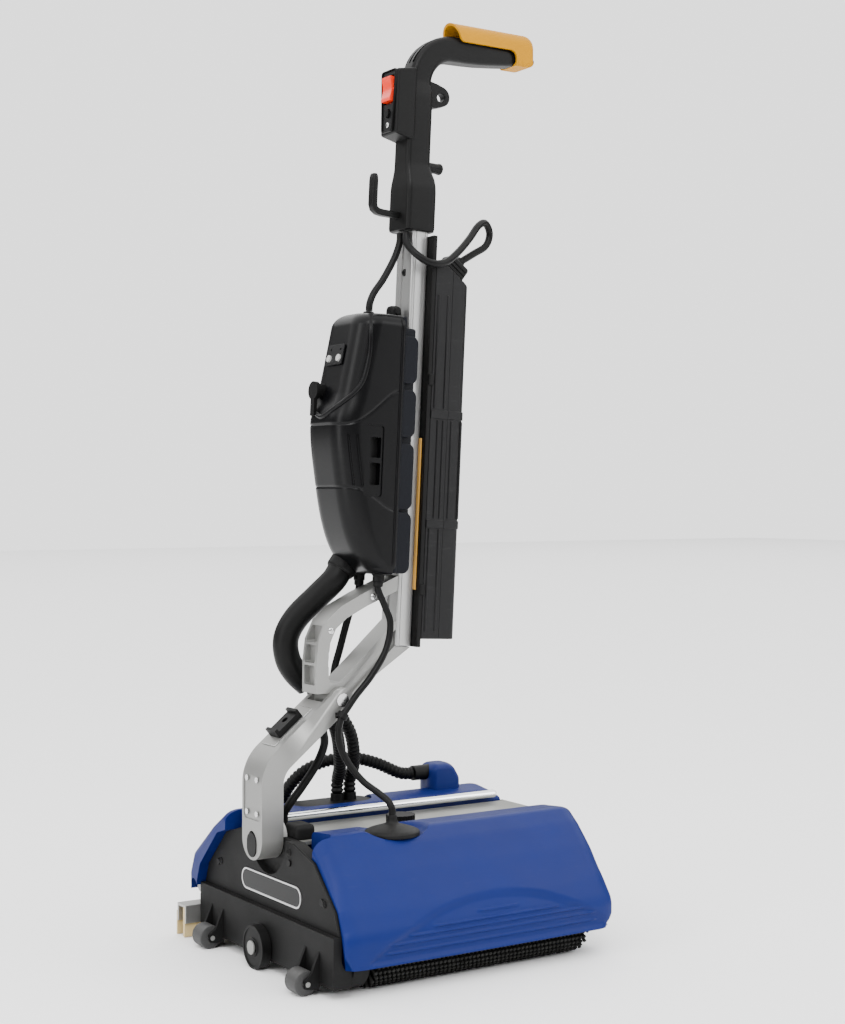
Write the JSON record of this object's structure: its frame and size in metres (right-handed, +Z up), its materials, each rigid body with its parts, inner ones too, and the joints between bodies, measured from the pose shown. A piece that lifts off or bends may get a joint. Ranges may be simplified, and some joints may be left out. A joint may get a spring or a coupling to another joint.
{
  "type": "floor scrubber drier",
  "caption": "Walk-behind floor scrubber with contra-rotating cylinder brushes, clean and recovery tanks, a rear squeegee, and a folding pole handle with vacuum box and battery.",
  "frame": {"origin": "on the floor, under the middle of the machine's box", "axes": "+X along the brushes towards the grip's end, -Y to the front tank, +Z up"},
  "size_m": [0.4474, 0.3694, 1.129],
  "materials": {
    "chassis": "satin",
    "tunnel": "matte",
    "cover": "matte",
    "steel": "satin",
    "bush": "satin",
    "motor": "satin",
    "belt": "matte",
    "tank": "satin",
    "dark_plastic": "satin",
    "bumper": "satin",
    "chrome": "polished",
    "bung": "matte",
    "brush_core": "matte",
    "bristle": "matte",
    "pulley": "satin",
    "tread": "matte",
    "wheel": "satin",
    "aluminium": "satin",
    "blade": "matte",
    "rocker": "satin",
    "grip": "satin",
    "box": "gloss",
    "button": "matte",
    "battery": "satin",
    "cell": "gloss",
    "hose": "matte"
  },
  "bodies": {
    "head": {"chassis": "chassis", "brush_tunnel": "tunnel", "left_cover": "cover", "right_cover": "cover", "axle_pins": "steel", "bushes": "bush", "brush_motor": "motor", "drive_belt": "belt", "front_tank": "tank", "rear_tank": "tank", "recess_plate": "dark_plastic", "rear_bumper": "bumper", "deck_rail": "chrome", "round_bung": "bung", "roller_brackets": "dark_plastic", "squeegee_hose": "hose", "lower_hoses": "hose"},
    "filler_cap": {"filler_cap": "dark_plastic"},
    "front_brush": {"front_brush_core": "brush_core", "front_bristles": "bristle"},
    "rear_brush": {"rear_brush_core": "brush_core", "rear_bristles": "bristle"},
    "motor_pulley": {"motor_pulley": "pulley"},
    "idler_pulley": {"idler_pulley": "pulley"},
    "front_roller": {"front_roller": "tread"},
    "rear_roller": {"rear_roller": "tread"},
    "left_wheel": {"left_wheel": "wheel"},
    "right_wheel": {"right_wheel": "wheel"},
    "squeegee": {"squeegee_frame": "aluminium", "squeegee_blades": "blade"},
    "arm": {"arm": "aluminium", "arm_fasteners": "steel", "arm_trim": "dark_plastic", "upper_hoses": "hose"},
    "latch_slider": {"latch_slider": "dark_plastic"},
    "handle": {"handle_frame": "aluminium", "pole": "aluminium", "handle_column": "cover", "switch_panel": "dark_plastic", "box_cover": "box", "box_back": "dark_plastic", "control_panel": "dark_plastic", "suction_motor": "motor", "battery_plate": "dark_plastic", "battery_inner_shell": "battery", "battery_outer_shell": "battery", "battery_cells": "cell", "battery_plug": "dark_plastic", "suction_elbow": "hose", "handle_cables": "hose"},
    "power_rocker": {"power_rocker": "rocker"},
    "reset_button": {"reset_button": "dark_plastic"},
    "grip_lever": {"grip_lever": "grip"},
    "panel_button_front": {"panel_button_front": "button"},
    "panel_button_rear": {"panel_button_rear": "button"},
    "box_latch": {"box_latch": "dark_plastic"},
    "clamp_knob": {"clamp_knob": "dark_plastic"},
    "suction_fan": {"suction_fan": "pulley"}
  },
  "joints": [
    {"name": "arm_tilt", "type": "hinge", "parent": "head", "child": "arm", "pos_m": [-0.19475, -0.00775, 0.15], "axis": [1, 0, 0], "range_deg": [-50, 50], "deforming": ["lower_hoses"]},
    {"name": "handle_fold", "type": "hinge", "parent": "arm", "child": "handle", "pos_m": [-0.10325, -0.00775, 0.305], "axis": [0, 1, 0], "range_deg": [0, 55], "deforming": ["upper_hoses"]},
    {"name": "latch_slide", "type": "slide", "parent": "arm", "child": "latch_slider", "axis": [-0.7775, 0, -0.6288], "range_m": [0, 0.01]},
    {"name": "front_brush_spin", "type": "hinge", "parent": "head", "child": "front_brush", "pos_m": [0.00475, -0.13875, 0.036], "axis": [1, 0, 0], "continuous": true},
    {"name": "rear_brush_spin", "type": "hinge", "parent": "head", "child": "rear_brush", "pos_m": [0.00475, 0.11425, 0.036], "axis": [1, 0, 0], "continuous": true},
    {"name": "motor_pulley_spin", "type": "hinge", "parent": "head", "child": "motor_pulley", "pos_m": [-0.17925, -0.00775, 0.08], "axis": [1, 0, 0], "continuous": true},
    {"name": "idler_spin", "type": "hinge", "parent": "head", "child": "idler_pulley", "pos_m": [-0.17925, 0.09025, 0.05686], "axis": [1, 0, 0], "continuous": true},
    {"name": "front_roller_spin", "type": "hinge", "parent": "head", "child": "front_roller", "pos_m": [-0.20975, -0.12475, 0.014], "axis": [0, 1, 0], "continuous": true},
    {"name": "rear_roller_spin", "type": "hinge", "parent": "head", "child": "rear_roller", "pos_m": [-0.20975, 0.10925, 0.014], "axis": [0, 1, 0], "continuous": true},
    {"name": "left_wheel_spin", "type": "hinge", "parent": "head", "child": "left_wheel", "pos_m": [-0.20225, -0.00775, 0.025], "axis": [1, 0, 0], "continuous": true},
    {"name": "right_wheel_spin", "type": "hinge", "parent": "head", "child": "right_wheel", "pos_m": [0.19675, -0.00775, 0.025], "axis": [1, 0, 0], "continuous": true},
    {"name": "filler_cap_turn", "type": "hinge", "parent": "head", "child": "filler_cap", "pos_m": [-0.01925, -0.02775, 0.15], "axis": [0, 0, 1], "continuous": true},
    {"name": "squeegee_lift", "type": "hinge", "parent": "head", "child": "squeegee", "pos_m": [0.00475, 0.16425, 0.047], "axis": [1, 0, 0], "range_deg": [0, 13], "deforming": ["squeegee_hose"]},
    {"name": "grip_lever_press", "type": "hinge", "parent": "handle", "child": "grip_lever", "pos_m": [0.17275, -0.00775, 1.096], "axis": [0, -1, 0], "range_deg": [0, 3.5], "stiffness_Nm_per_rad": 6, "springref_deg": -4.58},
    {"name": "power_rocker_tip", "type": "hinge", "parent": "handle", "child": "power_rocker", "pos_m": [-0.02203, -0.00775, 1.03534], "axis": [0, 1, 0], "range_deg": [-6, 6]},
    {"name": "reset_button_push", "type": "slide", "parent": "handle", "child": "reset_button", "axis": [0.9987, 0, -0.0506], "range_m": [0, 0.002], "stiffness_N_per_m": 600, "springref_m": -0.001},
    {"name": "panel_button_front_push", "type": "slide", "parent": "handle", "child": "panel_button_front", "axis": [0.9748, 0, -0.2233], "range_m": [0, 0.0012], "stiffness_N_per_m": 800, "springref_m": -0.001},
    {"name": "panel_button_rear_push", "type": "slide", "parent": "handle", "child": "panel_button_rear", "axis": [0.9748, 0, -0.2233], "range_m": [0, 0.0012], "stiffness_N_per_m": 800, "springref_m": -0.001},
    {"name": "box_latch_turn", "type": "hinge", "parent": "handle", "child": "box_latch", "pos_m": [-0.11266, 0.01025, 0.66945], "axis": [0.9987, 0, -0.0506], "range_deg": [0, 90]},
    {"name": "clamp_knob_turn", "type": "hinge", "parent": "handle", "child": "clamp_knob", "pos_m": [-0.01742, -0.00775, 0.75074], "axis": [0.0506, 0, 0.9987], "continuous": true},
    {"name": "suction_fan_spin", "type": "hinge", "parent": "handle", "child": "suction_fan", "pos_m": [-0.07357, -0.00775, 0.57135], "axis": [0.0506, 0, 0.9987], "continuous": true}
  ],
  "couplings": [
    {"joint": "rear_brush_spin", "follows": "front_brush_spin", "ratio": -1},
    {"joint": "motor_pulley_spin", "follows": "front_brush_spin", "ratio": 1.4167},
    {"joint": "idler_spin", "follows": "front_brush_spin", "ratio": 1.4167}
  ]
}
